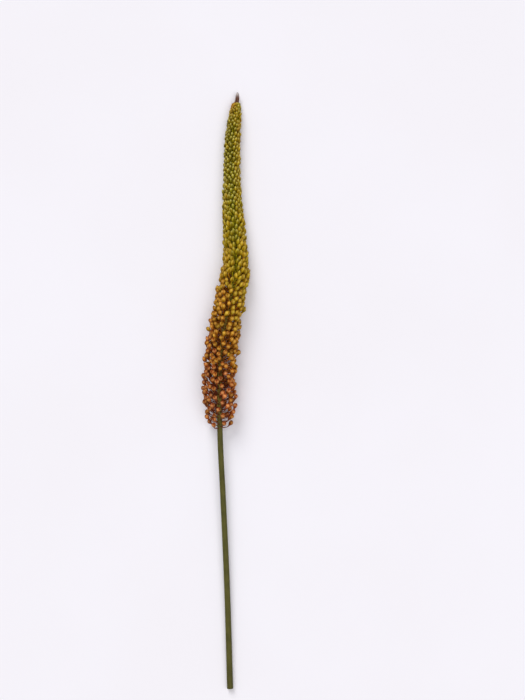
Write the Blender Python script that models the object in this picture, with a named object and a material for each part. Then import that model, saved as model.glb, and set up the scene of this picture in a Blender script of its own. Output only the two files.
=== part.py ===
"""Foxtail lily stem, cut and still in bud, lying on a flat surface.

Frame: metres, +Z up. The stem lies along +Y with its cut end at -Y and its tip at +Y.
The origin is on the surface, under the middle of the stem's length.
Distances "along" are measured from the cut end towards the tip.
"""

import math
import random

import bmesh
import bpy
import numpy as np
from mathutils import Vector

MM = 0.001

# Driving dimensions

TOTAL_LENGTH = 1.105
STALK_TOP = 0.476
LOWER_TOP = 0.722
MIDDLE_TOP = 0.896
UPPER_TOP = 1.0845
NODE_GAP = 0.0003
SHIFT_SIDEWAYS = -0.0049

# The stem's own line: along, sideways (+X) and height of the axis above the surface
ROUTE = np.array(
    [
        (0.000, 0.0130, 0.0057),
        (0.200, 0.0070, 0.0110),
        (0.360, 0.0000, 0.0165),
        (0.470, -0.0052, 0.0210),
        (0.580, -0.0058, 0.0243),
        (0.640, -0.0020, 0.0245),
        (0.720, 0.0135, 0.0235),
        (0.785, 0.0230, 0.0205),
        (0.840, 0.0215, 0.0180),
        (0.900, 0.0175, 0.0155),
        (0.960, 0.0165, 0.0138),
        (1.020, 0.0182, 0.0125),
        (1.063, 0.0222, 0.0108),
        (1.105, 0.0268, 0.0090),
    ]
)

# Along, radius of the green stalk
STALK_RADIUS = np.array(
    [(0.00, 0.0057), (0.48, 0.0051), (0.65, 0.0041), (0.85, 0.0034), (1.00, 0.0026), (1.085, 0.0016)]
)

# Along, radius of the crowded heart of the spike, where it is thicker than the stalk
HEART_RADIUS = np.array(
    [(0.896, 0.0030), (0.925, 0.0092), (0.96, 0.0106), (1.00, 0.0102), (1.04, 0.0088), (1.065, 0.0064),
     (1.0845, 0.0028)]
)

# Along, distance from the axis to the tips of the buds
SPREAD = np.array(
    [
        (0.490, 0.0230),
        (0.515, 0.0300),
        (0.570, 0.0335),
        (0.640, 0.0315),
        (0.760, 0.0300),
        (0.790, 0.0255),
        (0.830, 0.0225),
        (0.870, 0.0208),
        (0.900, 0.0183),
        (0.960, 0.0162),
        (1.035, 0.0146),
        (1.065, 0.0118),
        (1.082, 0.0092),
        (1.090, 0.0060),
    ]
)

# Along, and at the root there: buds per metre before the shares below, length and width of
# a bud in millimetres, then the angles in degrees from the stem's line of the flower stalk
# and of the bud on it
BUDS = np.array(
    [
        (0.476, 240, 12.0, 7.6, 76, 46),
        (0.520, 680, 12.0, 7.8, 72, 48),
        (0.620, 920, 11.6, 7.6, 68, 48),
        (0.720, 1020, 10.8, 6.9, 62, 45),
        (0.800, 1150, 10.2, 6.0, 54, 38),
        (0.880, 1300, 9.6, 5.5, 48, 31),
        (0.970, 1450, 9.0, 5.1, 42, 26),
        (1.045, 1650, 7.4, 4.4, 36, 22),
        (1.085, 1800, 5.8, 3.6, 30, 16),
    ]
)

GOLDEN_ANGLE = math.pi * (3 - math.sqrt(5))
FIRST_ROOT = 0.482
LAST_ROOT = 1.078
SEED = 11
FLOWER_STALK_RADIUS = 0.75 * MM
ROOT_SINK = 1.6 * MM
CORE_STEP = 0.024

# The share of those buds that is made in each stretch, and how much wider than life they are,
# so that they still cover the spike where it is crowded
LOWER_SHARE, LOWER_WIDTH = 0.76, 1.0
MIDDLE_SHARE, MIDDLE_WIDTH = 0.76, 1.08
UPPER_SHARE, UPPER_WIDTH = 0.46, 1.45

# A bud's girth, as share of its length and share of its half width
OPEN_BUD = ((0.0, 0.26), (0.30, 0.86), (0.64, 1.0), (1.0, 0.12))
CLOSE_BUD = ((0.0, 0.30), (0.45, 1.0), (1.0, 0.12))
CROWDED_BUD = ((0.35, 1.0), (1.0, 0.12))

# The tuft of bracts at the tip
TUFT_BRACTS = 7
TUFT_WIDTH = 3.3 * MM
TUFT_SWELL = 1.9 * MM
TUFT_TWIST = math.radians(110)

STALK_GREEN = (0.105, 0.110, 0.030, 1.0)
BUD_ORANGE = (0.420, 0.135, 0.022, 1.0)
BUD_GOLD = (0.360, 0.200, 0.020, 1.0)
BUD_GREEN = (0.215, 0.190, 0.018, 1.0)
BRACT_PURPLE = (0.130, 0.055, 0.045, 1.0)


def smooth(table, column, along):
    """A cubic curve through the table's rows, so that the stem bends with no kinks."""
    stations, values = table[:, 0], table[:, column]
    slopes = np.gradient(values, stations)
    i = int(np.clip(np.searchsorted(stations, along) - 1, 0, len(stations) - 2))
    span = stations[i + 1] - stations[i]
    t = (along - stations[i]) / span
    start = (2 * t**3 - 3 * t**2 + 1) * values[i] + (t**3 - 2 * t**2 + t) * span * slopes[i]
    end = (3 * t**2 - 2 * t**3) * values[i + 1] + (t**3 - t**2) * span * slopes[i + 1]
    return start + end


def level(table, column, along):
    """Straight-line reading of a table."""
    return float(np.interp(along, table[:, 0], table[:, column]))


def axis_point(along):
    """Where the stem's axis is, in the object's frame."""
    sideways = smooth(ROUTE, 1, along) + SHIFT_SIDEWAYS
    return Vector((sideways, along - TOTAL_LENGTH / 2, smooth(ROUTE, 2, along)))


def axis_frame(along):
    """The stem's direction, and the directions to its side and upwards."""
    step = 1 * MM
    tip = (axis_point(along + step) - axis_point(along - step)).normalized()
    side = tip.cross(Vector((0, 0, 1))).normalized()
    return tip, side, side.cross(tip)


def core_radius(along):
    """The green stalk, or the crowded heart of the spike round it."""
    heart = level(HEART_RADIUS, 1, along) if along > HEART_RADIUS[0, 0] else 0.0
    return max(level(STALK_RADIUS, 1, along), heart)


def place(along, out, rise, turn):
    """A point out from the axis at this turn, and rise above its root along the stem.

    The stem's own weight presses the underside of the spike flat.
    """
    tip, side, up = axis_frame(along)
    pressed = min(1.0, (smooth(ROUTE, 2, along) - 0.8 * MM) / level(SPREAD, 1, along))
    height = math.sin(turn) * (pressed if math.sin(turn) < 0 else 1.0)
    return axis_point(along) + tip * rise + (side * math.cos(turn) + up * height) * out


def bud_list(start, end, share):
    """The buds in the order they grow, each turned by the golden angle from the last."""
    draw = random.Random(SEED)
    along, turn, buds = start, 0.0, []
    while along < end:
        buds.append(
            {
                "along": along,
                "turn": turn + draw.gauss(0, math.radians(3.5)),
                "size": draw.uniform(0.93, 1.07),
                "reach": draw.uniform(0.93, 1.04),
                "tilt": math.radians(draw.gauss(0, 4)),
            }
        )
        along += 1 / (level(BUDS, 1, along) * share)
        turn += GOLDEN_ANGLE
    return buds


def bud_route(bud, profile, widening):
    """The line of a flower stalk and its bud, as points with a radius at each."""
    along = bud["along"]
    length = level(BUDS, 2, along) * MM * bud["size"]
    half_width = level(BUDS, 3, along) * MM * bud["size"] / 2 * widening
    stalk_slope = math.tan(math.radians(level(BUDS, 4, along)))
    bud_angle = math.radians(level(BUDS, 5, along)) + bud["tilt"]
    root_out = core_radius(along) - ROOT_SINK
    neck_rise = 0.0
    for _ in range(3):
        tip_along = along + neck_rise + length * math.cos(bud_angle)
        reach = level(SPREAD, 1, tip_along) * bud["reach"]
        neck_out = max(reach - length * math.sin(bud_angle), root_out + 0.5 * MM)
        neck_rise = (neck_out - root_out) / stalk_slope
    route = [(root_out, 0.0, FLOWER_STALK_RADIUS)]
    for share, girth in profile:
        out = neck_out + share * length * math.sin(bud_angle)
        rise = neck_rise + share * length * math.cos(bud_angle)
        route.append((out, rise, girth * half_width))
    points = []
    for out, rise, radius in route:
        point = place(along, out, rise, bud["turn"])
        point.z = max(point.z, radius)
        points.append((point, radius))
    return points


def nearest(first, second):
    """How far apart the surfaces of two buds are, tested at steps along their lines."""
    gap = 1.0
    for (a, a_radius), (b, b_radius) in zip(first, first[1:]):
        for (c, c_radius), (d, d_radius) in zip(second, second[1:]):
            for i in range(5):
                p, p_radius = a.lerp(b, i / 4), a_radius + (b_radius - a_radius) * i / 4
                for j in range(5):
                    q, q_radius = c.lerp(d, j / 4), c_radius + (d_radius - c_radius) * j / 4
                    gap = min(gap, (p - q).length - p_radius - q_radius)
    return gap


def bent_clear(bud, profile, widening, neighbours):
    """The bud's route, turned a little round the stem where it would touch the next node's buds."""
    for degrees in (0, 4, -4, 8, -8, 12, -12, 16, -16):
        moved = dict(bud, turn=bud["turn"] + math.radians(degrees))
        route = bud_route(moved, profile, widening)
        if all(nearest(route, other) > NODE_GAP for other in neighbours):
            return route
    return None


def material(name, colour, roughness):
    made = bpy.data.materials.new(name)
    made.use_nodes = True
    shader = made.node_tree.nodes["Principled BSDF"]
    shader.inputs["Base Color"].default_value = colour
    shader.inputs["Roughness"].default_value = roughness
    shader.inputs["Metallic"].default_value = 0.0
    made.diffuse_color = colour
    return made


def tube_object(name, routes, sides_level, collection):
    """A curve object that holds one tube for each route, thick as its points say, with closed ends."""
    curve = bpy.data.curves.new(name, "CURVE")
    curve.dimensions = "3D"
    curve.bevel_depth = 1.0
    curve.bevel_resolution = sides_level
    curve.use_fill_caps = True
    for route in routes:
        spline = curve.splines.new("POLY")
        spline.points.add(len(route) - 1)
        for point, (where, radius) in zip(spline.points, route):
            point.co = (*where, 1.0)
            point.radius = radius
    obj = bpy.data.objects.new(name, curve)
    collection.objects.link(obj)
    return obj


def to_mesh(obj, weld=0.005 * MM):
    """The object's evaluated shape as a plain mesh object of the same name, its caps welded."""
    name, collection = obj.name, obj.users_collection[0]
    graph = bpy.context.evaluated_depsgraph_get()
    mesh = bpy.data.meshes.new_from_object(obj.evaluated_get(graph))
    world = obj.matrix_world.copy()
    bpy.data.objects.remove(obj)
    shape = bmesh.new()
    shape.from_mesh(mesh)
    bmesh.ops.remove_doubles(shape, verts=shape.verts, dist=weld)
    shape.to_mesh(mesh)
    shape.free()
    mesh.name = name
    made = bpy.data.objects.new(name, mesh)
    made.matrix_world = world
    collection.objects.link(made)
    return made


def core_route(start, end, step):
    """The stem's axis between two stations, with its radius."""
    count = max(2, round((end - start) / step) + 1)
    stations = np.linspace(start, end, count)
    return [(axis_point(along), core_radius(along)) for along in stations]


def split_loose(obj, collection):
    """Each loose tube of a mesh as its own object in the collection."""
    bpy.ops.object.select_all(action="DESELECT")
    obj.select_set(True)
    bpy.context.view_layer.objects.active = obj
    bpy.ops.mesh.separate(type="LOOSE")
    for piece in list(bpy.context.selected_objects):
        for old in list(piece.users_collection):
            old.objects.unlink(piece)
        collection.objects.link(piece)


def grow(core, routes, sides_level):
    """Fuses one tube for each route into the core."""
    repeats = bpy.data.collections.new(core.name + "_repeats")
    bpy.context.scene.collection.children.link(repeats)
    split_loose(to_mesh(tube_object(core.name + "_tubes", routes, sides_level, repeats)), repeats)
    union = core.modifiers.new("Union", "BOOLEAN")
    union.operation = "UNION"
    union.operand_type = "COLLECTION"
    union.collection = repeats
    union.solver = "MANIFOLD"
    fused = to_mesh(core, weld=0.001 * MM)
    for obj in list(repeats.objects):
        bpy.data.objects.remove(obj)
    bpy.data.collections.remove(repeats)
    return fused


def finish(obj, colour_material, crease_degrees):
    obj.data.materials.clear()
    obj.data.materials.append(colour_material)
    if obj.type == "MESH":
        obj.data.shade_smooth()
        obj.data.set_sharp_from_angle(angle=math.radians(crease_degrees))


def make_stalk(collection):
    """The bare green stalk, from the cut end to the lowest flower."""
    route = core_route(0.0, STALK_TOP, 0.04)
    obj = tube_object("flower_stalk", [route], 4, collection)
    finish(obj, material("stalk_green", STALK_GREEN, 0.5), 30)


def make_spike(collection):
    """The spike in three stretches by colour: open orange below, then gold, then crowded green."""
    stretches = (
        ("buds_lower", STALK_TOP + NODE_GAP, LOWER_TOP, LOWER_SHARE, LOWER_WIDTH, OPEN_BUD,
         material("bud_orange", BUD_ORANGE, 0.5)),
        ("buds_middle", LOWER_TOP + NODE_GAP, MIDDLE_TOP, MIDDLE_SHARE, MIDDLE_WIDTH, CLOSE_BUD,
         material("bud_gold", BUD_GOLD, 0.5)),
        ("buds_upper", MIDDLE_TOP + NODE_GAP, UPPER_TOP, UPPER_SHARE, UPPER_WIDTH, CROWDED_BUD,
         material("bud_green", BUD_GREEN, 0.5)),
    )
    below = []
    for name, start, end, share, widening, profile, colour in stretches:
        buds = bud_list(max(start + ROOT_SINK, FIRST_ROOT), min(end - ROOT_SINK, LAST_ROOT), share)
        routes = []
        for bud in buds:
            close = [other for other in below if other[-1][0].y > axis_point(bud["along"]).y - 4 * MM]
            route = bent_clear(bud, profile, widening, close)
            if route:
                routes.append(route)
        core = to_mesh(tube_object(name, [core_route(start, end, CORE_STEP)], 2, collection))
        fused = grow(core, routes, 0)
        finish(fused, colour, 40)
        below = routes


def make_tuft(collection):
    """Slender bracts twisted together at the tip of the spike."""
    start = UPPER_TOP + NODE_GAP
    length = TOTAL_LENGTH - start
    base = core_radius(UPPER_TOP)
    taper = ((0, 1), (0.35, 0.9), (0.8, 0.3))
    heart = [(axis_point(start + share * length), girth * base) for share, girth in taper]
    core = to_mesh(tube_object("tip_bracts", [heart], 1, collection))
    routes = []
    for k in range(TUFT_BRACTS):
        reach = 1.0 - 0.06 * k
        route = []
        for share in (0.08, 0.35, 0.7, 1.0):
            along = start + share * length * reach
            tip, side, up = axis_frame(along)
            angle = k * GOLDEN_ANGLE + share * TUFT_TWIST
            out = TUFT_SWELL * (1 - share**2) + 0.15 * MM * k * share
            radius = max(TUFT_WIDTH / 2 * (1 - share**1.5), 0.3 * MM)
            route.append((axis_point(along) + (side * math.cos(angle) + up * math.sin(angle)) * out, radius))
        routes.append(route)
    fused = grow(core, routes, 0)
    finish(fused, material("bract_purple", BRACT_PURPLE, 0.7), 40)


def main():
    for obj in list(bpy.data.objects):
        bpy.data.objects.remove(obj)
    collection = bpy.data.collections.new("foxtail_lily_stem")
    bpy.context.scene.collection.children.link(collection)
    make_stalk(collection)
    make_spike(collection)
    make_tuft(collection)


main()
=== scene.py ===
"""A cut foxtail lily stem in bud, lying on a pale floor and seen from above."""

import math
import random
from functools import lru_cache

import bmesh
import bpy
import numpy as np
from bpy.props import FloatProperty, FloatVectorProperty, IntProperty, PointerProperty
from mathutils import Matrix, Vector


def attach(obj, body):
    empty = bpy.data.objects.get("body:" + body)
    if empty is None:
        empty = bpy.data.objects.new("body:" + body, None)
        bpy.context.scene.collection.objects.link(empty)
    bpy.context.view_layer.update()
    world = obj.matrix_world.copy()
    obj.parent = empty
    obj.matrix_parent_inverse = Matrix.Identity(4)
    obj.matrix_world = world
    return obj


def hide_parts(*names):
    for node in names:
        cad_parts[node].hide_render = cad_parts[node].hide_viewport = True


bl_info = {
    "name": "Foxtail lily stem",
    "version": (1, 0, 0),
    "blender": (4, 5, 0),
    "location": "3D View > Sidebar > Foxtail lily",
    "description": "Models a cut foxtail lily stem in bud, lying on a pale floor",
    "category": "Add Mesh",
}

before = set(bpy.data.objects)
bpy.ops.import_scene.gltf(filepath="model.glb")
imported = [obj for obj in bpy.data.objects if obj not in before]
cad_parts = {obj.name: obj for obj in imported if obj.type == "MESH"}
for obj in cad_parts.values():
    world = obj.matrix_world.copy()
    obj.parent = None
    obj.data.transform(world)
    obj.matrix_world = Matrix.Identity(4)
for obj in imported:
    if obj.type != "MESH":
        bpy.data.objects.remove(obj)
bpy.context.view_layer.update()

MM = 0.001

# Where the stem's stretches end, and the places that its buds grow between, from the cut end on
TOTAL_LENGTH = 1.105
STALK_TOP = 0.476
LOWER_TOP = 0.722
MIDDLE_TOP = 0.896
UPPER_TOP = 1.0845
FIRST_ROOT = 0.482
LAST_ROOT = 1.0770

# Brings the middle of the stem's width over the origin
SHIFT_SIDEWAYS = -0.0049

# How far flower stalks and bracts are sunk into the stalk, and how far out from there a bud at least is
ROOT_DEPTH = 0.8 * MM
BRACT_DEPTH = 0.5 * MM
SHORTEST_RUN = 1.2 * MM

# How much more squarely than its chord a flower stalk leaves the stem
LEAVING_TURN = math.radians(16)

# The underside is pressed flat this far above the floor
FLOOR_GAP = 0.8 * MM

GOLDEN_ANGLE = math.pi * (3 - math.sqrt(5))

# Buds are set more loosely below here, and fully so this much lower down
LOOSE_BELOW, LOOSE_SPAN = 0.86, 0.2

# The stem's own line: along, sideways and height of the axis above the floor
ROUTE = np.array(
    [
        (0.000, 0.0130, 0.0057),
        (0.200, 0.0070, 0.0110),
        (0.360, 0.0000, 0.0165),
        (0.470, -0.0052, 0.0210),
        (0.580, -0.0058, 0.0243),
        (0.640, -0.0020, 0.0245),
        (0.720, 0.0135, 0.0235),
        (0.785, 0.0230, 0.0205),
        (0.840, 0.0215, 0.0180),
        (0.900, 0.0175, 0.0155),
        (0.960, 0.0165, 0.0138),
        (1.020, 0.0182, 0.0125),
        (1.063, 0.0222, 0.0108),
        (1.105, 0.0268, 0.0090),
    ]
)

# Along, radius of the green stalk
STALK_RADIUS = np.array(
    [
        (0.000, 0.0057),
        (0.480, 0.0051),
        (0.560, 0.0043),
        (0.700, 0.0038),
        (0.850, 0.0034),
        (1.000, 0.0025),
        (1.085, 0.0016),
    ]
)

# Along, distance from the axis to the tips of the buds
SPREAD = np.array(
    [
        (0.490, 0.0230),
        (0.515, 0.0300),
        (0.570, 0.0335),
        (0.640, 0.0315),
        (0.760, 0.0300),
        (0.790, 0.0255),
        (0.830, 0.0225),
        (0.870, 0.0208),
        (0.900, 0.0183),
        (0.960, 0.0162),
        (1.035, 0.0146),
        (1.065, 0.0122),
        (1.077, 0.0104),
        (1.082, 0.0082),
        (1.086, 0.0050),
    ]
)

# Along, and at the root there: buds per metre, length and width of a bud in millimetres,
# then the angles in degrees from the stem's line of the flower stalk and of the bud on it
BUDS = np.array(
    [
        (0.476, 420, 12.2, 8.2, 76, 44),
        (0.520, 1150, 12.2, 8.3, 72, 43),
        (0.620, 1500, 12.0, 8.1, 68, 39),
        (0.720, 1750, 11.8, 7.8, 62, 34),
        (0.800, 2000, 11.6, 7.6, 54, 31),
        (0.880, 1900, 10.6, 7.1, 49, 30),
        (0.970, 1640, 9.7, 6.7, 45, 32),
        (1.045, 1640, 8.3, 6.0, 42, 32),
        (1.070, 1850, 6.8, 5.0, 38, 27),
        (1.080, 2300, 5.0, 4.3, 38, 18),
    ]
)

# Along, and how far the buds on top part over the stalk, in degrees
PARTING = np.array(
    [(0.50, 1.0), (0.58, 2.0), (0.66, 6.0), (0.74, 8.0), (0.80, 5.0), (0.90, 3.0), (0.93, 0.0)]
)

# Along, half the width of the tuft of bracts at the tip
TUFT = np.array(
    [
        (1.0800, 0.0036),
        (1.0870, 0.0039),
        (1.0963, 0.0037),
        (1.1010, 0.0033),
        (1.1035, 0.0028),
        (1.1060, 0.0020),
    ]
)

# Along, and how ripe the buds are there: 0 is green, 0.5 gold and 1 orange.
# The last columns are how much riper they are on the right than on the left, and how much greener on top
RIPENESS = np.array(
    [
        (0.476, 1.06, -0.02, 0.00),
        (0.545, 1.02, -0.04, 0.00),
        (0.590, 0.90, -0.08, 0.00),
        (0.640, 0.78, -0.06, 0.00),
        (0.690, 0.66, -0.09, 0.04),
        (0.760, 0.52, -0.03, 0.20),
        (0.830, 0.33, 0.02, 0.30),
        (0.910, 0.28, 0.06, 0.34),
        (0.960, 0.27, 0.10, 0.28),
        (1.035, 0.30, 0.20, 0.14),
        (1.052, 0.33, 0.06, 0.05),
        (1.066, 0.43, -0.24, 0.00),
        (1.085, 0.46, -0.30, 0.00),
    ]
)

# Along, and how pale the tips of young buds are there, partly as a painted highlight on the tips
TIP_PALENESS_AND_HIGHLIGHT = np.array(
    [(0.60, 0.30), (0.80, 0.55), (0.90, 0.95), (0.96, 1.30), (1.03, 1.25), (1.06, 1.40), (1.085, 1.40)]
)

# Along, how much brighter the buds are there, how much more so on the right than on the left,
# and how much more so on both sides than on top. The last two columns are painted light and shade:
# the buds on the sides of the spike are painted darker, and one side lighter than the other
TONE_AND_PAINTED_SHADE = np.array(
    [
        (0.476, -0.10, 0.30, -0.80),
        (0.580, 0.22, 0.35, -0.70),
        (0.640, 0.16, 0.00, -0.60),
        (0.740, 0.20, 0.00, -0.50),
        (0.780, -0.06, -0.12, -0.35),
        (0.860, 0.10, 0.15, -0.50),
        (0.920, -0.45, 0.15, -0.25),
        (0.960, -0.95, 0.10, -0.05),
        (1.040, -1.35, 0.25, 0.00),
        (1.060, -0.70, 0.15, 0.00),
        (1.085, -0.40, 0.00, 0.00),
    ]
)

# A bud's steps from its neck to its tip, each with its girth there as a share of its half width:
# ripe ones are blunt teardrops and young ones are pointed
RIPE_FORM = ((0.0, 0.22), (0.15, 0.45), (0.37, 0.82), (0.60, 1.0), (0.80, 0.85), (0.94, 0.42), (1.0, 0.0))
YOUNG_FORM = ((0.0, 0.36), (0.13, 0.76), (0.34, 1.0), (0.56, 0.94), (0.77, 0.64), (0.92, 0.27), (1.0, 0.0))

# How many slightly different buds of each form there are
BUD_KINDS = 6

# Steps from the root of a flower stalk to its bud, and the shares of its usual radius that it has
# at each of them and inside the bud
FLOWER_STALK_STEPS = (0.0, 0.12, 0.35, 0.62, 0.85, 1.0)
FLOWER_STALK_GIRTHS = (1.9, 1.25, 1.0, 1.0, 1.1, 1.5, 2.0)

# Steps along a small bract, each with half its width there in millimetres
BRACT_FORM = ((0, 1.0), (0.35, 1.15), (0.75, 0.6), (1, 0))

# Places along a bud that are kept clear of its neighbours', how near neighbours are, how many rounds
# of pushing there are, and the share of an overlap by which a round moves each of the two buds
BUD_MARKS = (0.32, 0.56, 0.80)
NEIGHBOUR_DISTANCE = 16 * MM
PUSHING_ROUNDS = 16
PUSH = 0.12

# A bud rests on its widest part or near its tip: the places along it, each with its girth there
RESTS = ((0.56, 1.08), (0.9, 0.75))

# How many sides a swept piece has round it
STALK_SIDES, FLOWER_STALK_SIDES, BUD_SIDES, BRACT_SIDES, TUFT_SIDES = 28, 5, 12, 4, 6

# Rings along the stalk: two close to the cut end, then one at each step
CUT_RINGS = [0.0004, 0.004]
STALK_STEP = 0.012
STALK_SEED = 5

# A bract of the tuft runs from inside the top of the spike to past the solids' tip, in this many steps
TUFT_START, TUFT_END = UPPER_TOP - 4 * MM, TOTAL_LENGTH + 2.6 * MM
TUFT_STEPS = 8
TUFT_SEED = 3

# The photograph's frame and scale, the camera's height above the spike, and the point that it is over
PHOTO_ROWS = 700
MM_A_PIXEL = 1.85
CAMERA_DISTANCE = 2.8
SPIKE_HEIGHT = 0.015
CAMERA_OVER = (0.0682, 0.0758)

# How far the floor reaches to each side
FLOOR_REACH = 40

NODES = {"lower": "buds_lower", "middle": "buds_middle", "upper": "buds_upper"}
STRETCHES = {
    "lower": (STALK_TOP, LOWER_TOP),
    "middle": (LOWER_TOP, MIDDLE_TOP),
    "upper": (MIDDLE_TOP, UPPER_TOP),
}

# Values that a piece's points carry: the share of a turn round it and of its length, then how ripe
# its bud is, how bright (its own tone, with painted shade on the spike's sides) and how pale at the tip,
# the pale tip being partly a painted highlight
LAYERS = ("turn", "length", "ripe", "tone_and_shade", "pale")


# The stem's form

def smooth(table, column, along):
    """A cubic curve through the table's rows, so that the stem bends with no kinks."""
    stations, values = table[:, 0], table[:, column]
    slopes = np.gradient(values, stations)
    i = int(np.clip(np.searchsorted(stations, along) - 1, 0, len(stations) - 2))
    span = stations[i + 1] - stations[i]
    t = (along - stations[i]) / span
    start = (2 * t**3 - 3 * t**2 + 1) * values[i] + (t**3 - 2 * t**2 + t) * span * slopes[i]
    end = (3 * t**2 - 2 * t**3) * values[i + 1] + (t**3 - t**2) * span * slopes[i + 1]
    return float(start + end)


def level(table, column, along):
    """Straight-line reading of a table."""
    return float(np.interp(along, table[:, 0], table[:, column]))


def clamp(value, low=0.0, high=1.0):
    """The value, kept between low and high."""
    return min(max(value, low), high)


def axis_point(along):
    """Where the stem's axis is."""
    sideways = smooth(ROUTE, 1, along) + SHIFT_SIDEWAYS
    return Vector((sideways, along - TOTAL_LENGTH / 2, smooth(ROUTE, 2, along)))


def axis_frame(along):
    """The stem's direction, and the directions to its side and upwards."""
    tip = (axis_point(along + MM) - axis_point(along - MM)).normalized()
    side = tip.cross(Vector((0, 0, 1))).normalized()
    return tip, side, side.cross(tip)


def place(along, out, rise, turn):
    """A point out from the axis at this turn. The floor presses the underside flat."""
    tip, side, up = axis_frame(along)
    pressed = min(1.0, (smooth(ROUTE, 2, along) - FLOOR_GAP) / level(SPREAD, 1, along))
    height = math.sin(turn) * (pressed if math.sin(turn) < 0 else 1.0)
    return axis_point(along) + tip * rise + (side * math.cos(turn) + up * height) * out


def above_floor(point, radius):
    """The point, lifted where its girth would reach through the floor."""
    return Vector((point.x, point.y, max(point.z, radius)))


def grown_buds(seed, crowding):
    """The buds as they grow up the spike, each turned by the golden angle from the last."""
    draw = random.Random(seed)
    along, turn, buds = FIRST_ROOT + 1.6 * MM, 0.0, []
    while along < LAST_ROOT:
        side, loose = math.cos(turn), clamp((LOOSE_BELOW - along) / LOOSE_SPAN)
        # Below the crowded tip, the buds on top part a little and show the green stalk
        off_top = (turn - math.pi / 2 + math.pi) % (2 * math.pi) - math.pi
        part = level(PARTING, 1, along) * math.copysign(math.exp(-((off_top / 0.75) ** 2)), off_top)
        ripe = level(RIPENESS, 1, along) + level(RIPENESS, 2, along) * side + draw.gauss(0, 0.07)
        ripe -= level(RIPENESS, 3, along) * math.exp(-((off_top / 0.42) ** 2))
        # Painted shade and light: buds are darker on the spike's sides and lighter on one side, on top of
        # their own tone
        painted_shade_and_tone = level(TONE_AND_PAINTED_SHADE, 1, along) + level(TONE_AND_PAINTED_SHADE, 2, along) * side
        painted_shade_and_tone += level(TONE_AND_PAINTED_SHADE, 3, along) * side**2
        buds.append(
            {
                "along": along + draw.uniform(-1, 1) * MM * (0.8 + 0.8 * loose),
                "turn": turn + math.radians(part + draw.gauss(0, 6 + loose)),
                "size": draw.uniform(0.88, 1.08),
                "reach": draw.uniform(0.91 - 0.10 * loose, 1.05 + 0.02 * loose),
                "tilt": math.radians(draw.gauss(0, 5 + 6 * loose)),
                "yaw": math.radians(draw.gauss(0, 7 + 10 * loose)),
                "room": 0.84 + 0.04 * loose,
                "ripe": clamp(ripe, -0.3, 1.15),
                "tone_and_shade": clamp(draw.gauss(0, 0.5) + painted_shade_and_tone, -2.0, 1.2),
                "pale": level(TIP_PALENESS_AND_HIGHLIGHT, 1, along) * draw.uniform(0.8, 1.15),
                "kind": draw.randrange(BUD_KINDS),
                "pointed": along > draw.uniform(0.56, 0.76),
            }
        )
        along += 1 / (level(BUDS, 1, along) * crowding)
        turn += GOLDEN_ANGLE
    return buds


def seat(bud, bud_length, bud_width):
    """Gives a bud its half width, its neck and tip, and the line of its flower stalk."""
    along, turn = bud["along"], bud["turn"]
    length = level(BUDS, 2, along) * MM * bud["size"] * bud_length
    half_width = level(BUDS, 3, along) * MM * bud["size"] / 2 * bud_width
    stalk_angle = math.radians(level(BUDS, 4, along))
    bud_angle = math.radians(level(BUDS, 5, along)) + bud["tilt"]
    root_out = level(STALK_RADIUS, 1, along) - ROOT_DEPTH
    # The spread is read where the bud's tip is, which is found in a few rounds
    neck_rise = 0.0
    for _ in range(3):
        reach = level(SPREAD, 1, along + neck_rise + length * math.cos(bud_angle)) * bud["reach"]
        neck_out = max(reach - length * math.sin(bud_angle), root_out + SHORTEST_RUN)
        neck_rise = (neck_out - root_out) / math.tan(stalk_angle)
    tip_out = neck_out + length * math.sin(bud_angle)
    tip_rise = neck_rise + length * math.cos(bud_angle)
    neck = place(along, neck_out, neck_rise, turn)
    tip = place(along, tip_out, tip_rise, turn + bud["yaw"] * length / tip_out)
    # The flower stalk bends up into the bud
    chord = math.hypot(neck_out - root_out, neck_rise)
    leave = stalk_angle + LEAVING_TURN
    points = []
    for step in FLOWER_STALK_STEPS:
        share, bow, settle = 3 * step**2 - 2 * step**3, step - 2 * step**2 + step**3, step**3 - step**2
        out = root_out + share * (neck_out - root_out)
        out += chord * (bow * math.sin(leave) + settle * math.sin(bud_angle))
        rise = share * neck_rise + chord * (bow * math.cos(leave) + settle * math.cos(bud_angle))
        points.append((step, place(along, out, rise, turn)))
    outward = (place(along, neck_out + MM, neck_rise, turn) - neck).normalized()
    bud.update(half_width=half_width, neck=neck, tip=tip, points=points, outward=outward)


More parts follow.
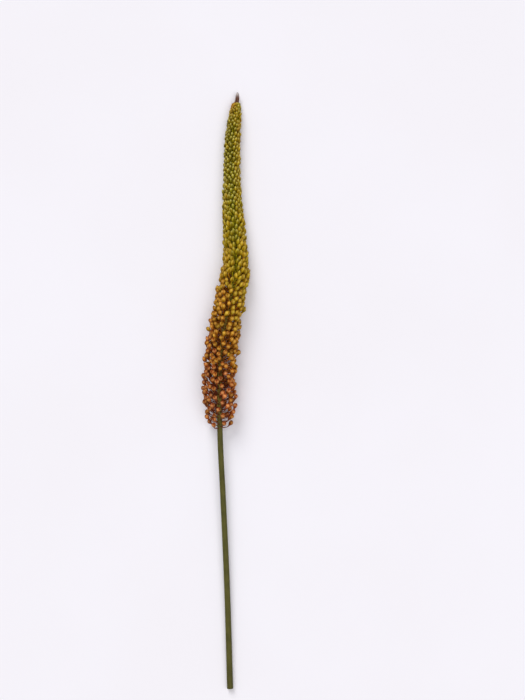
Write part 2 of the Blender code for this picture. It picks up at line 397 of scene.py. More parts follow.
def push_clear(buds):
    """Moves buds that run into one another aside, and those that reach through the floor up."""
    necks = np.array([bud["neck"] for bud in buds])
    lines = np.array([bud["tip"] - bud["neck"] for bud in buds])
    outward = np.array([bud["outward"] for bud in buds])
    girth = np.array([bud["half_width"] for bud in buds])
    room = np.array([bud["half_width"] * bud["room"] for bud in buds])
    middles = necks + lines / 2
    near = np.linalg.norm(middles[:, None] - middles[None], axis=2) < NEIGHBOUR_DISTANCE
    first, second = np.nonzero(np.triu(near, 1))
    moved = np.zeros_like(necks)
    for _ in range(PUSHING_ROUNDS):
        push = np.zeros_like(necks)
        for mine in BUD_MARKS:
            for other in BUD_MARKS:
                apart = (necks + moved + lines * mine)[first] - (necks + moved + lines * other)[second]
                gap = np.linalg.norm(apart, axis=1)
                deep = np.maximum(room[first] + room[second] - gap, 0)
                shove = apart * (PUSH * deep / np.maximum(gap, 0.01 * MM))[:, None]
                np.add.at(push, first, shove)
                np.add.at(push, second, -shove)
        # No bud is pushed outwards, so the spike keeps its outline
        away = np.maximum((push * outward).sum(axis=1), 0)
        moved += push - outward * away[:, None]
        low = np.zeros(len(buds))
        for mark, fullness in RESTS:
            low = np.minimum(low, necks[:, 2] + moved[:, 2] + mark * lines[:, 2] - fullness * girth)
        moved[:, 2] -= low
    for bud, shift in zip(buds, moved):
        shift = Vector(shift)
        bud["neck"], bud["tip"] = bud["neck"] + shift, bud["tip"] + shift
        bud["points"] = [point + shift * step**2 for step, point in bud["points"]]
        bud["points"].append(bud["neck"].lerp(bud["tip"], 0.06))


@lru_cache(maxsize=1)
def seated_buds(seed, crowding, length, width):
    """All buds of the spike, by stretch."""
    buds = grown_buds(seed, crowding)
    for bud in buds:
        seat(bud, length, width)
    push_clear(buds)
    ends = STRETCHES.items()
    return {name: [bud for bud in buds if low <= bud["along"] < high] for name, (low, high) in ends}


def spike_buds(sizes):
    """All buds of a spike of these sizes, by stretch."""
    return seated_buds(sizes.seed, sizes.crowding, sizes.bud_length, sizes.bud_width)


# Making shapes

def new_shape():
    """An empty mesh in the making, whose points carry the values that the materials read."""
    shape = bmesh.new()
    for name in LAYERS:
        shape.verts.layers.float.new(name)
    return shape


def as_mesh(shape, name):
    """A mesh of the shape, which is then done with."""
    mesh = bpy.data.meshes.new(name)
    shape.to_mesh(mesh)
    shape.free()
    return mesh


def new_object(name, data):
    """An object in the scene with this data."""
    made = bpy.data.objects.new(name, data)
    bpy.context.scene.collection.objects.link(made)
    return made


def add_mesh(shape, mesh):
    """Adds a mesh that is done with to the shape."""
    shape.from_mesh(mesh)
    bpy.data.meshes.remove(mesh)


def sweep(shape, route, sides, flatness=1.0, outward=None, ripe=0.0, tone_and_shade=0.0):
    """Sweeps a ring along a route of points with a radius at each. A radius of 0 is a sharp end.
    A flat ring is thin towards outward."""
    part = new_shape()
    turn, length, ripeness, tone_and_shade_layer = (part.verts.layers.float[name] for name in LAYERS[:4])
    points = [Vector(point) for point, _ in route]
    travelled, total = 0.0, sum((b - a).length for a, b in zip(points, points[1:]))
    ahead = (points[1] - points[0]).normalized()
    across = (ahead.cross(outward) if outward else ahead.orthogonal()).normalized()
    facing = Matrix((across, ahead.cross(across), ahead)).transposed()
    ring = edges = before = None
    for i, (point, (_, radius)) in enumerate(zip(points, route)):
        towards = points[min(i + 1, len(points) - 1)] - points[max(i - 1, 0)]
        facing = facing.col[2].rotation_difference(towards).to_matrix() @ facing
        girth = max(radius, 0.02 * MM)
        size = Matrix.Diagonal((girth, girth * flatness, girth, 1))
        here = Matrix.Translation(point) @ facing.to_4x4() @ size
        if ring is None:
            made = bmesh.ops.create_circle(part, cap_ends=True, radius=1, segments=sides, matrix=here)
            ring, edges = made["verts"], part.edges[:]
            for k, vert in enumerate(ring):
                vert[turn] = k / sides
        else:
            travelled += (point - points[i - 1]).length
            made = bmesh.ops.extrude_edge_only(part, edges=edges)["geom"]
            ring = [item for item in made if isinstance(item, bmesh.types.BMVert)]
            new_edges = [item for item in made if isinstance(item, bmesh.types.BMEdge)]
            inside = set(ring)
            edges = [edge for edge in new_edges if inside.issuperset(edge.verts)]
            bmesh.ops.transform(part, matrix=here @ before.inverted(), verts=ring)
        for vert in ring:
            vert[length], vert[ripeness], vert[tone_and_shade_layer] = travelled / total, ripe, tone_and_shade
        before = here
    if route[-1][1] == 0:
        # A sharp end has no turn of its own
        ring[0][turn] = -1
        bmesh.ops.pointmerge(part, verts=ring, merge_co=points[-1])
    else:
        bmesh.ops.holes_fill(part, edges=edges, sides=0)
    add_mesh(shape, as_mesh(part, "part"))


def lay_out(shape, size=1.0):
    """A UV map from the turn round and the length along that each point carries."""
    turn, length = shape.verts.layers.float["turn"], shape.verts.layers.float["length"]
    uv = shape.loops.layers.uv.new("UVMap")
    for face in shape.faces:
        turns = [vert[turn] for vert in face.verts]
        known = [value for value in turns if value >= 0]
        if max(known) - min(known) > 0.5:
            turns = [value + 1 if 0 <= value < 0.5 else value for value in turns]
            known = [value for value in turns if value >= 0]
        middle = sum(known) / len(known)
        for loop, value in zip(face.loops, turns):
            loop[uv].uv = (value if value >= 0 else middle, loop.vert[length] * size)


def finish(shape, name, materials, nodes, length=1.0):
    """Makes the shape a piece of the stem that stands for these nodes. Its UV map is this long."""
    bmesh.ops.recalc_face_normals(shape, faces=shape.faces)
    lay_out(shape, length)
    mesh = as_mesh(shape, name)
    for made in materials:
        mesh.materials.append(made)
    mesh.shade_smooth()
    piece = new_object(name, mesh)
    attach(piece, "root")
    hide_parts(*nodes)


# Making materials

def feed(tree, socket, value):
    """Links the socket to another node's output, or gives it a value."""
    if isinstance(value, bpy.types.NodeSocket):
        tree.links.new(value, socket)
    elif value is not None:
        socket.default_value = value


def add(tree, kind, *inputs, **settings):
    """Adds a node. Each input is a value, or another node's output to link."""
    made = tree.nodes.new(kind)
    for name, value in settings.items():
        setattr(made, name, value)
    for socket, value in zip(made.inputs, inputs):
        feed(tree, socket, value)
    return made


def math_node(tree, operation, *inputs):
    """The result of an operation on its inputs."""
    return add(tree, "ShaderNodeMath", *inputs, operation=operation).outputs[0]


def product(tree, first, *others):
    """All the values multiplied."""
    for other in others:
        first = math_node(tree, "MULTIPLY", first, other)
    return first


def attribute(tree, name):
    """A value that the piece's points carry."""
    return add(tree, "ShaderNodeAttribute", attribute_name=name).outputs["Fac"]


def object_place(tree):
    """The place on the piece, in metres."""
    return add(tree, "ShaderNodeTexCoord").outputs["Object"]


def noise(tree, where, scale, detail=3.0, roughness=0.5, number=None):
    """Cloudy noise. With a number, it differs from one bud to the next."""
    dimensions = "3D" if number is None else "4D"
    inputs = (where, number, scale, detail, roughness)
    return add(tree, "ShaderNodeTexNoise", *inputs, noise_dimensions=dimensions).outputs[0]


def mixed(tree, share, first, second, mode="MIX"):
    """One colour mixed with another by a share."""
    made = tree.nodes.new("ShaderNodeMix")
    made.data_type, made.blend_type = "RGBA", mode
    # The node has other sockets for colours than for values
    for index, value in ((0, share), (6, first), (7, second)):
        feed(tree, made.inputs[index], value)
    return made.outputs[2]


def ramp(tree, value, low, high, start=0.0, end=1.0):
    """Start below the low value, end above the high one, and a soft step between."""
    made = add(tree, "ShaderNodeMapRange", value, low, high, start, end, interpolation_type="SMOOTHSTEP")
    return made.outputs[0]


def new_group(name, inputs, outputs):
    """An empty node group with named sockets."""
    tree = bpy.data.node_groups.new(name, "ShaderNodeTree")
    for label, kind, default in inputs:
        socket = tree.interface.new_socket(label, in_out="INPUT", socket_type="NodeSocket" + kind)
        socket.default_value = default
    for label, kind in outputs:
        tree.interface.new_socket(label, in_out="OUTPUT", socket_type="NodeSocket" + kind)
    return tree, tree.nodes.new("NodeGroupInput").outputs, tree.nodes.new("NodeGroupOutput").inputs


def turn_and_length(tree):
    """The share of a turn round a swept piece, and of its length."""
    uv = add(tree, "ShaderNodeUVMap", uv_map="UVMap").outputs[0]
    parts = add(tree, "ShaderNodeSeparateXYZ", uv).outputs
    return parts[0], parts[1]


def round_and_along(tree, around, along):
    """Pattern coordinates that run round and along a swept piece with no seam."""
    turn, length = turn_and_length(tree)
    angle = product(tree, turn, 2 * math.pi)
    x = product(tree, math_node(tree, "COSINE", angle), around)
    y = product(tree, math_node(tree, "SINE", angle), around)
    z = product(tree, length, along)
    return add(tree, "ShaderNodeCombineXYZ", x, y, z).outputs[0]


def bud_skin_group():
    """Waxy bud skin: ripeness turns its colour, with ribs, pale edges, a pale tip that is partly a painted
    highlight, and painted shade at the foot.
    """
    name = "Bud skin"
    if name in bpy.data.node_groups:
        return bpy.data.node_groups[name]
    tree, given, put = new_group(
        name,
        (
            ("Young", "Color", (0.2, 0.2, 0.02, 1)),
            ("Middle", "Color", (0.35, 0.25, 0.02, 1)),
            ("Ripe", "Color", (0.4, 0.17, 0.04, 1)),
            ("Rib strength", "Float", 0.6),
            ("Edge strength", "Float", 0.6),
        ),
        (("Color", "Color"), ("Roughness", "Float"), ("Height", "Float")),
    )
    ripe, tone_and_shade, tip_paleness_and_highlight = (attribute(tree, value) for value in ("ripe", "tone_and_shade", "pale"))
    turn, length = turn_and_length(tree)
    fresh = mixed(tree, 1.0, given["Young"], (0.72, 0.98, 1.6, 1), "MULTIPLY")
    colour = mixed(tree, ramp(tree, ripe, -0.3, 0.15), fresh, given["Young"])
    colour = mixed(tree, ramp(tree, ripe, 0.0, 0.5), colour, given["Middle"])
    colour = mixed(tree, ramp(tree, ripe, 0.5, 1.0), colour, given["Ripe"])
    oldest = ramp(tree, ripe, 0.86, 1.10)
    colour = mixed(tree, oldest, colour, mixed(tree, 1.0, colour, (0.92, 0.92, 1.80, 1), "MULTIPLY"))
    bud_number = product(tree, tone_and_shade, 37.0)
    fine = noise(tree, round_and_along(tree, 1.6, 3.0), 2.6, roughness=0.55, number=bud_number)
    # Three outer petals round the bud, each with a rib down its middle and a pale edge
    across = math_node(tree, "FRACT", product(tree, turn, 3.0))
    from_middle = math_node(tree, "ABSOLUTE", math_node(tree, "SUBTRACT", across, 0.5))
    off_rib = product(tree, from_middle, 2.0)
    rib = ramp(tree, off_rib, 0.08, 0.42, 1.0, 0.0)
    edge = ramp(tree, off_rib, 0.66, 0.94)
    # Painted shade at the foot of each bud, where it sits deep among the others
    foot = ramp(tree, length, 0.0, 0.5, 1.0, 0.0)
    old = ramp(tree, ripe, 0.3, 0.7)
    young = math_node(tree, "MULTIPLY_ADD", old, -0.7, 1.0)
    # Young buds are palest at the tip. Ripe ones have a pale ring below a darker tip. Both are partly the
    # petals' own paleness and partly a painted highlight
    pale_tip_and_highlight = product(tree, ramp(tree, length, 0.54, 0.90), young, tip_paleness_and_highlight)
    ring = product(tree, ramp(tree, length, 0.44, 0.62), ramp(tree, length, 0.74, 0.86, 1.0, 0.0), old)
    spot = product(tree, ramp(tree, length, 0.80, 0.92), old, 0.85)
    # The ribs' own darker colour and the painted shade at the foot both darken towards this tint
    rib_and_shade_tint = mixed(tree, old, (0.43, 0.36, 0.12, 1), (0.50, 0.20, 0.07, 1))
    dark = mixed(tree, 1.0, colour, rib_and_shade_tint, "MULTIPLY")
    # A lighter copy of the colour, for the pale edges and for the painted highlight on tips and rings
    light = mixed(tree, 1.0, colour, (1.45, 1.55, 1.6, 1), "MULTIPLY")
    pale = mixed(tree, old, (0.86, 0.76, 0.20, 1), (0.72, 0.41, 0.08, 1))
    pale = mixed(tree, oldest, pale, (0.88, 0.43, 0.15, 1))
    rim = mixed(tree, 0.60, light, mixed(tree, old, (0.60, 0.50, 0.03, 1), pale))
    colour = mixed(tree, product(tree, edge, 0.8, given["Edge strength"]), colour, rim)
    # Pale tips and rings, partly a painted highlight
    pale_share_and_highlight = product(tree, math_node(tree, "MAXIMUM", pale_tip_and_highlight, ring), given["Edge strength"])
    colour = mixed(tree, math_node(tree, "MINIMUM", pale_share_and_highlight, 1.0), colour, mixed(tree, 0.60, light, pale))
    # The painted shade at the feet of buds halfway up is lighter
    young_foot_shade = ramp(tree, tip_paleness_and_highlight, 0.5, 0.9, 0.30, 0.75)
    foot_shade_strength = math_node(tree, "MAXIMUM", young_foot_shade, product(tree, old, 0.75))
    # Darker along the ribs, their own colour, and at the foot, as painted shade
    shade = product(tree, rib, given["Rib strength"])
    shade = math_node(tree, "MAXIMUM", shade, product(tree, foot, foot_shade_strength))
    colour = mixed(tree, shade, colour, dark)
    colour = mixed(tree, spot, colour, mixed(tree, 1.0, colour, (0.58, 0.40, 0.36, 1), "MULTIPLY"))
    # Each bud is made brighter or darker by its own tone and by painted shade on the spike's sides, with
    # mottling
    painted_shade_and_tone = math_node(tree, "MULTIPLY_ADD", tone_and_shade, 0.2, 1.0)
    painted_shade_and_tone = product(tree, painted_shade_and_tone, ramp(tree, fine, 0.2, 0.8, 0.84, 1.16))
    grey = add(tree, "ShaderNodeCombineXYZ", painted_shade_and_tone, painted_shade_and_tone, painted_shade_and_tone).outputs[0]
    colour = mixed(tree, 1.0, colour, grey, "MULTIPLY")
    tree.links.new(colour, put["Color"])
    tree.links.new(ramp(tree, fine, 0.2, 0.8, 0.42, 0.58), put["Roughness"])
    height = math_node(tree, "MULTIPLY_ADD", edge, -0.5, rib)
    height = math_node(tree, "MULTIPLY_ADD", fine, 0.25, height)
    tree.links.new(height, put["Height"])
    return tree


def streaked_skin_group():
    """Skin with fine streaks that run lengthwise, as on stalks and bracts."""
    name = "Streaked skin"
    if name in bpy.data.node_groups:
        return bpy.data.node_groups[name]
    tree, given, put = new_group(
        name,
        (
            ("Dark", "Color", (0.08, 0.09, 0.02, 1)),
            ("Light", "Color", (0.16, 0.17, 0.06, 1)),
            ("Around", "Float", 5.0),
            ("Along", "Float", 6.0),
            ("Roughness", "Float", 0.5),
            ("Specks", "Float", 0.0),
        ),
        (("Color", "Color"), ("Roughness", "Float"), ("Height", "Float")),
    )
    number = product(tree, attribute(tree, "tone_and_shade"), 41.0)
    lengthwise = round_and_along(tree, given["Around"], given["Along"])
    streak = noise(tree, lengthwise, 1.6, detail=4.0, roughness=0.6, number=number)
    where = object_place(tree)
    cloud = noise(tree, where, 55.0)
    share = math_node(tree, "ADD", product(tree, streak, 0.65), product(tree, cloud, 0.35))
    colour = mixed(tree, ramp(tree, share, 0.34, 0.64), given["Dark"], given["Light"])
    # A speck in one cell of five
    cells = add(tree, "ShaderNodeTexVoronoi", where, None, 160.0).outputs
    chosen = ramp(tree, add(tree, "ShaderNodeSeparateColor", cells["Color"]).outputs[0], 0.80, 0.82)
    speck = product(tree, ramp(tree, cells["Distance"], 0.06, 0.13, 1.0, 0.0), chosen, given["Specks"])
    colour = mixed(tree, speck, colour, (0.035, 0.022, 0.010, 1))
    tree.links.new(colour, put["Color"])
    smoothest = math_node(tree, "SUBTRACT", given["Roughness"], 0.08)
    tree.links.new(math_node(tree, "MULTIPLY_ADD", streak, 0.16, smoothest), put["Roughness"])
    tree.links.new(streak, put["Height"])
    return tree


def new_material(name, specular):
    """A new material with this specular level, its node tree and its principled shader."""
    made = bpy.data.materials.new(name)
    made.use_nodes = True
    shader = made.node_tree.nodes["Principled BSDF"]
    shader.inputs["Specular IOR Level"].default_value = specular
    return made, made.node_tree, shader


def add_relief(tree, shader, height, strength, depth):
    """Raises the surface by a height, up to this depth."""
    relief = tree.nodes.new("ShaderNodeBump")
    relief.inputs["Strength"].default_value = strength
    relief.inputs["Distance"].default_value = depth
    tree.links.new(height, relief.inputs["Height"])
    tree.links.new(relief.outputs["Normal"], shader.inputs["Normal"])


def use_group(tree, shader, group, values, strength, depth):
    """Places a skin group in a material and feeds the shader from it."""
    skin = tree.nodes.new("ShaderNodeGroup")
    skin.node_tree = group
    for label, value in values.items():
        feed(tree, skin.inputs[label], value)
    tree.links.new(skin.outputs["Color"], shader.inputs["Base Color"])
    tree.links.new(skin.outputs["Roughness"], shader.inputs["Roughness"])
    add_relief(tree, shader, skin.outputs["Height"], strength, depth)


def opaque(colour):
    """The colour with full cover."""
    return (*colour, 1.0)


def bud_material(name, colours):
    """Waxy buds with little gloss."""
    made, tree, shader = new_material(name, 0.10)
    shader.inputs["Specular Tint"].default_value = (1.0, 0.80, 0.35, 1)
    # A faint waxy bloom
    shader.inputs["Sheen Weight"].default_value = 0.28
    shader.inputs["Sheen Roughness"].default_value = 0.3
    shader.inputs["Sheen Tint"].default_value = (1.0, 0.78, 0.12, 1)
    values = {
        "Young": opaque(colours.young_bud),
        "Middle": opaque(colours.gold_bud),
        "Ripe": opaque(colours.ripe_bud),
        "Rib strength": colours.rib_strength,
        "Edge strength": colours.edge_strength,
    }
    use_group(tree, shader, bud_skin_group(), values, 0.55, 0.35 * MM)
    return made


def stalk_material(colours):
    """The green stalk, streaked and specked."""
    made, tree, shader = new_material("Stalk skin", 0.12)
    # Inside the spike the stalk is olive among the ripe buds, and a fresh green higher up
    along = add(tree, "ShaderNodeSeparateXYZ", object_place(tree)).outputs[1]
    inside, fresh = ramp(tree, along, -0.09, -0.01), ramp(tree, along, 0.12, 0.29)
    inner_dark = mixed(tree, fresh, (0.150, 0.105, 0.014, 1), (0.390, 0.400, 0.012, 1))
    inner_light = mixed(tree, fresh, (0.245, 0.185, 0.030, 1), (0.560, 0.580, 0.024, 1))
    values = {
        "Dark": mixed(tree, inside, opaque(colours.stalk_dark), inner_dark),
        "Light": mixed(tree, inside, opaque(colours.stalk_light), inner_light),
        "Around": 5.0,
        "Along": 4.0,
        "Roughness": 0.52,
        "Specks": 0.8,
    }
    use_group(tree, shader, streaked_skin_group(), values, 0.35, 0.25 * MM)
    return made


def flower_stalk_material(colours):
    """Flower stalks turn from green through orange-brown to a dark red-brown as the buds ripen; the dark
    red-brown is partly painted shade in the gaps between the ripe buds.
    """
    made, tree, shader = new_material("Flower stalk skin", 0.15)
    ripe = attribute(tree, "ripe")
    turning, old = ramp(tree, ripe, 0.32, 0.56), ramp(tree, ripe, 0.66, 0.92)
    dark = mixed(tree, turning, (0.520, 0.450, 0.006, 1), (0.330, 0.095, 0.005, 1))
    light = mixed(tree, turning, (0.720, 0.630, 0.014, 1), (0.520, 0.170, 0.010, 1))
    # Darkest among the ripest buds, partly as painted shade in the gaps between them
    dark = mixed(tree, old, dark, (0.100, 0.015, 0.003, 1))
    light = mixed(tree, old, light, (0.215, 0.033, 0.006, 1))
    values = {"Dark": dark, "Light": light, "Around": 2.0, "Along": 4.0, "Roughness": 0.55}
    use_group(tree, shader, streaked_skin_group(), values, 0.3, 0.15 * MM)
    return made


def cut_face_material():
    """The cut end: pale pith with the ends of fibres in it."""
    made, tree, shader = new_material("Cut pith", 0.5)
    where = object_place(tree)
    dots = add(tree, "ShaderNodeTexVoronoi", where, None, 1500.0).outputs["Distance"]
    pith = mixed(tree, ramp(tree, dots, 0.12, 0.34), (0.22, 0.24, 0.09, 1), (0.56, 0.58, 0.36, 1))
    dry = ramp(tree, noise(tree, where, 420.0), 0.3, 0.7, 0.0, 0.35)
    colour = mixed(tree, dry, pith, (0.40, 0.36, 0.16, 1))
    tree.links.new(colour, shader.inputs["Base Color"])
    shader.inputs["Roughness"].default_value = 0.6
    add_relief(tree, shader, dots, 0.4, 0.2 * MM)
    return made


def bract_material(name, base, middle, tip, papery):
    """Dry bracts, which turn from the base's colour through the middle's to the tip's. The tip starts
    at the papery share of their length."""
    made, tree, shader = new_material(name, 0.25)
    _, length = turn_and_length(tree)
    light = mixed(tree, ramp(tree, length, 0.0, 0.5), base, middle)
    light = mixed(tree, ramp(tree, length, papery, papery + 0.36), light, tip)
    # Among young buds they are still olive
    light = mixed(tree, ramp(tree, attribute(tree, "ripe"), 0.32, 0.52), (0.56, 0.48, 0.014, 1), light)
    dark = mixed(tree, 1.0, light, (0.45, 0.40, 0.42, 1), "MULTIPLY")
    values = {"Dark": dark, "Light": light, "Around": 2.2, "Along": 1.2, "Roughness": 0.72}
    use_group(tree, shader, streaked_skin_group(), values, 0.6, 0.2 * MM)
    return made


def floor_material(colours):
    """A matt pale floor with faint clouds of a warmer shade."""
    made, tree, shader = new_material("Pale floor", 0.0)
    clouds = ramp(tree, noise(tree, object_place(tree), 2.5), 0.3, 0.7)
    warm = (colours.floor[0] * 0.985, colours.floor[1] * 0.98, colours.floor[2] * 0.975)
    tree.links.new(mixed(tree, clouds, opaque(warm), opaque(colours.floor)), shader.inputs["Base Color"])
    shader.inputs["Roughness"].default_value = 0.7
    return made


# Sizes and colours that a user would change

class FoxtailLilySizes(bpy.types.PropertyGroup):
    """The stem's sizes and numbers"""

    seed: IntProperty(name="Seed", description="Draws the small differences between buds", default=11)
    crowding: FloatProperty(
        name="Crowding", description="How many buds grow, as a share of the usual number",
        default=1.0, min=0.2, max=1.5, subtype="FACTOR",
    )
    bud_length: FloatProperty(
        name="Bud length", description="Length of each bud, as a share of the usual one",
        default=1.0, min=0.5, max=1.5, subtype="FACTOR",
    )
    bud_width: FloatProperty(
        name="Bud width", description="Width of each bud, as a share of the usual one",
        default=1.0, min=0.5, max=1.5, subtype="FACTOR",
    )
    flower_stalk: FloatProperty(
        name="Flower stalk", description="Radius of the stalk that carries each bud",
        default=0.0008, min=0.0003, max=0.0012, unit="LENGTH",
    )
    bract: FloatProperty(
        name="Bract", description="Length of the small bract under each flower stalk",
        default=0.006, min=0.002, max=0.012, unit="LENGTH",
    )
    tuft: IntProperty(
        name="Tuft", description="Number of bracts in the tuft at the tip",
        default=15, min=5, max=40,
    )


class FoxtailLilyColours(bpy.types.PropertyGroup):
    """The stem's colours"""

    young_bud: FloatVectorProperty(
        name="Young bud", description="Buds near the tip", subtype="COLOR", size=3,
        default=(0.164, 0.130, 0.002), min=0, max=1,
    )
    gold_bud: FloatVectorProperty(
        name="Gold bud", description="Buds halfway down the spike", subtype="COLOR", size=3,
        default=(0.378, 0.226, 0.003), min=0, max=1,
    )
    ripe_bud: FloatVectorProperty(
        name="Ripe bud", description="Buds at the foot of the spike", subtype="COLOR", size=3,
        default=(0.350, 0.074, 0.010), min=0, max=1,
    )
    rib_strength: FloatProperty(
        name="Ribs", description="How dark the rib of each petal is",
        default=0.6, min=0, max=1, subtype="FACTOR",
    )
    # This also sets the painted highlight on the bud tips and rings
    edge_strength: FloatProperty(
        name="Pale edges", description="How pale the petals' edges and tips are",
        default=0.8, min=0, max=1, subtype="FACTOR",
    )
    stalk_dark: FloatVectorProperty(
        name="Stalk, dark", description="Darker streaks of the stalk", subtype="COLOR", size=3,
        default=(0.062, 0.058, 0.014), min=0, max=1,
    )
    stalk_light: FloatVectorProperty(
        name="Stalk, light", description="Lighter streaks of the stalk", subtype="COLOR", size=3,
        default=(0.110, 0.102, 0.022), min=0, max=1,
    )
    floor: FloatVectorProperty(
        name="Floor", description="The pale floor", subtype="COLOR", size=3,
        default=(0.90, 0.885, 0.925), min=0, max=1,
    )


# Pieces

class FOXTAIL_OT_stage(bpy.types.Operator):
    """Lays the pale floor, hangs the soft lights and sets the camera above the stem"""

    bl_idname = "foxtail.stage"
    bl_label = "Stage"

    def execute(self, context):
        shape = bmesh.new()
        bmesh.ops.create_grid(shape, x_segments=1, y_segments=1, size=FLOOR_REACH)
        mesh = as_mesh(shape, "floor")
        mesh.materials.append(floor_material(context.scene.foxtail_colours))
        floor = new_object("floor", mesh)
        # Each light's name, where it shines from, how wide it is in degrees, and its strength
        for name, where, width, strength in (
            ("key", (-0.7, 1.7, 1.5), 34, 1.75),
            ("fill", (0.5, -0.4, 1.8), 60, 1.185),
        ):
            light = bpy.data.lights.new(name, "SUN")
            light.angle, light.energy = math.radians(width), strength
            lamp = new_object(name, light)
            lamp.location = where
            lamp.rotation_euler = (-Vector(where)).to_track_quat("-Z", "Y").to_euler()
        world = bpy.data.worlds.new("studio")
        world.use_nodes = True
        tree = world.node_tree
        # The sky looks as pale as the floor, and lights the stem less than that
        seen = add(tree, "ShaderNodeLightPath").outputs["Is Camera Ray"]
        sky = tree.nodes["Background"].inputs
        sky["Color"].default_value = (0.967, 0.946, 1.0, 1)
        tree.links.new(ramp(tree, seen, 0.0, 1.0, 0.34, 0.955), sky["Strength"])
        context.scene.world = world
        context.scene.view_settings.view_transform = "Standard"
        view = bpy.data.cameras.new("camera")
        view.sensor_width = 36
        view.lens = CAMERA_DISTANCE * view.sensor_width / (PHOTO_ROWS * MM_A_PIXEL * MM)
        camera = new_object("camera", view)
        camera.location = (*CAMERA_OVER, CAMERA_DISTANCE + SPIKE_HEIGHT)
        context.scene.camera = camera
        return {"FINISHED"}


class FOXTAIL_OT_stalk(bpy.types.Operator):
    """Models the green stalk from its cut end up through the spike"""

    bl_idname = "foxtail.stalk"
    bl_label = "Stalk"

    def execute(self, context):
        colours = context.scene.foxtail_colours
        draw = random.Random(STALK_SEED)
        shape = new_shape()
        stations = list(np.arange(0.0, UPPER_TOP, STALK_STEP)) + [UPPER_TOP]
        stations[1:1] = CUT_RINGS
        route = []
        for along in stations:
            radius = level(STALK_RADIUS, 1, along) * (1 + draw.uniform(-0.012, 0.012))
            # The rim of the cut is a little rounded
            if along == 0:
                radius *= 0.94
            route.append((axis_point(along), radius))
        sweep(shape, route, STALK_SIDES)
        # The flat face at the cut end is pith, sunk a little inside a green rind
        caps = [face for face in shape.faces if len(face.verts) > 4]
        cut = min(caps, key=lambda face: face.calc_center_median().y)
        cut.material_index = 1
        rind = bmesh.ops.inset_individual(shape, faces=[cut], thickness=0.7 * MM, depth=-0.15 * MM)
        for face in rind["faces"]:
            face.material_index = 0
        materials = [stalk_material(colours), cut_face_material()]
        finish(shape, "stalk", materials, ["flower_stalk"], TOTAL_LENGTH * 10)
        return {"FINISHED"}


class FOXTAIL_OT_flower_stalks(bpy.types.Operator):
    """Models the curved stalk that carries each bud"""

    bl_idname = "foxtail.flower_stalks"
    bl_label = "Flower stalks"

    def execute(self, context):
        sizes, colours = context.scene.foxtail_sizes, context.scene.foxtail_colours
        skin = flower_stalk_material(colours)
        radii = [girth * sizes.flower_stalk for girth in FLOWER_STALK_GIRTHS]
        for stretch, buds in spike_buds(sizes).items():
            shape = new_shape()
            for bud in buds:
                rings = zip(bud["points"], radii)
                route = [(above_floor(point, radius), radius) for point, radius in rings]
                sweep(shape, route, FLOWER_STALK_SIDES, ripe=bud["ripe"], tone_and_shade=bud["tone_and_shade"])
            finish(shape, f"flower_stalks_{stretch}", [skin], [NODES[stretch]])
        return {"FINISHED"}


def bud_forms(steps, angular):
    """Buds of this form with small differences, one unit long and one unit in half width. Angular
    ones have deeper ridges along their three petals."""
    made = []
    for kind in range(BUD_KINDS):
        draw = random.Random(kind)
        shape = new_shape()
        turn, length = shape.verts.layers.float["turn"], shape.verts.layers.float["length"]
        sweep(shape, [((0, 0, step), girth) for step, girth in steps], BUD_SIDES)
        spin = Matrix.Rotation(draw.uniform(0, 6.28), 4, "Z")
        lean, lobe = draw.uniform(-0.32, -0.05), draw.uniform(0.04, 0.10) * angular
        for vert in shape.verts:
            ridge = 1 - lobe * math.cos(6 * math.pi * vert[turn]) * math.sin(math.pi * vert[length])
            vert.co = spin @ Vector((vert.co.x * ridge, vert.co.y * ridge, vert.co.z))
            vert.co.x += lean * vert[length] ** 2
        made.append(as_mesh(shape, "bud_form"))
    return made


class FOXTAIL_OT_buds(bpy.types.Operator):
    """Models the closed buds in the three stretches of the spike"""

    bl_idname = "foxtail.buds"
    bl_label = "Buds"

    def execute(self, context):
        sizes, colours = context.scene.foxtail_sizes, context.scene.foxtail_colours
        ripe_forms, young_forms = bud_forms(RIPE_FORM, 2.4), bud_forms(YOUNG_FORM, 1.2)
        for stretch, buds in spike_buds(sizes).items():
            shape = new_shape()
            for bud in buds:
                line = bud["tip"] - bud["neck"]
                aside = line.cross(bud["outward"]).normalized()
                turned = Matrix((aside.cross(line).normalized(), aside, line.normalized())).transposed()
                size = Matrix.Diagonal((bud["half_width"], bud["half_width"], line.length, 1))
                mesh = (young_forms if bud["pointed"] else ripe_forms)[bud["kind"]].copy()
                mesh.transform(Matrix.Translation(bud["neck"]) @ turned.to_4x4() @ size)
                for name in ("ripe", "tone_and_shade", "pale"):
                    mesh.attributes[name].data.foreach_set("value", [bud[name]] * len(mesh.vertices))
                add_mesh(shape, mesh)
            skin = bud_material(f"Bud skin {stretch}", colours)
            finish(shape, f"buds_{stretch}_fine", [skin], [NODES[stretch]])
        for mesh in ripe_forms + young_forms:
            bpy.data.meshes.remove(mesh)
        return {"FINISHED"}


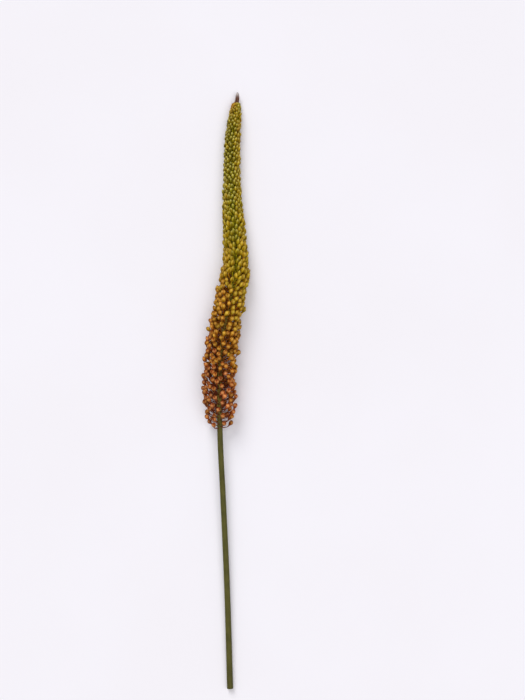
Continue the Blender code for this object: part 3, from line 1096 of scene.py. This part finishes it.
class FOXTAIL_OT_bracts(bpy.types.Operator):
    """Models the small dry bract under each flower stalk"""

    bl_idname = "foxtail.bracts"
    bl_label = "Bracts"

    def execute(self, context):
        sizes = context.scene.foxtail_sizes
        shape = new_shape()
        draw = random.Random(sizes.seed)
        for buds in spike_buds(sizes).values():
            for bud in buds:
                along, turn = bud["along"], bud["turn"] + draw.uniform(-0.12, 0.12)
                root = level(STALK_RADIUS, 1, along) - BRACT_DEPTH
                # Bracts are longest low down, and lie closest to the stem's line near the tip
                length = sizes.bract * draw.uniform(0.75, 1.3) * (1 + 0.6 * clamp((0.80 - along) / 0.1))
                rise = 0.45 + 0.55 * clamp((along - 0.8) / 0.2)
                if along > 0.98:
                    length = max(length, level(SPREAD, 1, along) * draw.uniform(0.85, 1.15))
                outward = place(along, 0.01, 0, turn) - axis_point(along)
                route = []
                for step, girth in BRACT_FORM:
                    out = root + length * step * (1.05 - 0.35 * step)
                    climb = length * step * rise * (0.4 + 0.8 * step) - 1.0 * MM
                    route.append((above_floor(place(along, out, climb, turn), 0.3 * MM), girth * MM))
                look = {"ripe": bud["ripe"], "tone_and_shade": bud["tone_and_shade"]}
                sweep(shape, route, BRACT_SIDES, flatness=0.22, outward=outward, **look)
        base, middle, tip = (0.15, 0.045, 0.012, 1), (0.20, 0.070, 0.022, 1), (0.33, 0.19, 0.08, 1)
        skin = bract_material("Bract skin", base, middle, tip, 0.62)
        finish(shape, "bracts", [skin], list(NODES.values()))
        return {"FINISHED"}


class FOXTAIL_OT_tuft(bpy.types.Operator):
    """Models the tuft of dark bracts at the tip"""

    bl_idname = "foxtail.tuft"
    bl_label = "Tip tuft"

    def execute(self, context):
        sizes = context.scene.foxtail_sizes
        shape = new_shape()
        draw = random.Random(TUFT_SEED)
        for k in range(sizes.tuft):
            outer = k / (sizes.tuft - 1)
            length = TUFT_END - TUFT_START - draw.uniform(0.0, 3.0) * MM
            width = draw.uniform(3.0, 3.8) * MM
            angle, lean = k * GOLDEN_ANGLE, draw.uniform(-0.5, 0.5)
            route = []
            for i in range(TUFT_STEPS + 1):
                step = i / TUFT_STEPS
                along = TUFT_START + length * step
                _, side, up = axis_frame(along)
                turned = angle + lean * step
                out = (level(TUFT, 1, along) - 0.4 * MM) * (0.25 + 0.75 * outer)
                girth = width / 2 * (0.8 + 0.5 * step) * math.sqrt(1 - step**3)
                # The tuft bows a little to the side
                above = (along - UPPER_TOP) / (TOTAL_LENGTH - UPPER_TOP)
                bend = side * (0.8 * MM * math.sin(math.pi * above))
                outward = side * math.cos(turned) + up * math.sin(turned)
                route.append((axis_point(along) + bend + outward * out, girth))
            tone_and_shade = draw.uniform(-1, 1)
            sweep(shape, route, TUFT_SIDES, flatness=0.3, outward=outward, ripe=1.0, tone_and_shade=tone_and_shade)
        base, middle, tip = (0.185, 0.064, 0.034, 1), (0.205, 0.085, 0.050, 1), (0.66, 0.60, 0.56, 1)
        skin = bract_material("Tuft skin", base, middle, tip, 0.54)
        finish(shape, "tip_tuft", [skin], ["tip_bracts"])
        return {"FINISHED"}


class FOXTAIL_PT_panel(bpy.types.Panel):
    """Sizes and colours of the stem, and its pieces"""

    bl_idname = "FOXTAIL_PT_panel"
    bl_label = "Foxtail lily stem"
    bl_space_type = "VIEW_3D"
    bl_region_type = "UI"
    bl_category = "Foxtail lily"

    def draw(self, context):
        for group in (context.scene.foxtail_sizes, context.scene.foxtail_colours):
            box = self.layout.box()
            for name in group.__annotations__:
                box.prop(group, name)
        for operator in PIECES:
            self.layout.operator(operator.bl_idname)


PIECES = (
    FOXTAIL_OT_stage,
    FOXTAIL_OT_stalk,
    FOXTAIL_OT_flower_stalks,
    FOXTAIL_OT_buds,
    FOXTAIL_OT_bracts,
    FOXTAIL_OT_tuft,
)
CLASSES = (FoxtailLilySizes, FoxtailLilyColours, *PIECES, FOXTAIL_PT_panel)


def register():
    """Adds the properties, operators and panel."""
    for made in CLASSES:
        bpy.utils.register_class(made)
    bpy.types.Scene.foxtail_sizes = PointerProperty(type=FoxtailLilySizes)
    bpy.types.Scene.foxtail_colours = PointerProperty(type=FoxtailLilyColours)


def unregister():
    """Removes them again."""
    del bpy.types.Scene.foxtail_colours
    del bpy.types.Scene.foxtail_sizes
    for made in reversed(CLASSES):
        bpy.utils.unregister_class(made)


def main():
    """Makes every piece."""
    register()
    bpy.ops.foxtail.stage()
    bpy.ops.foxtail.stalk()
    bpy.ops.foxtail.flower_stalks()
    bpy.ops.foxtail.buds()
    bpy.ops.foxtail.bracts()
    bpy.ops.foxtail.tuft()


if __name__ == "__main__":
    main()
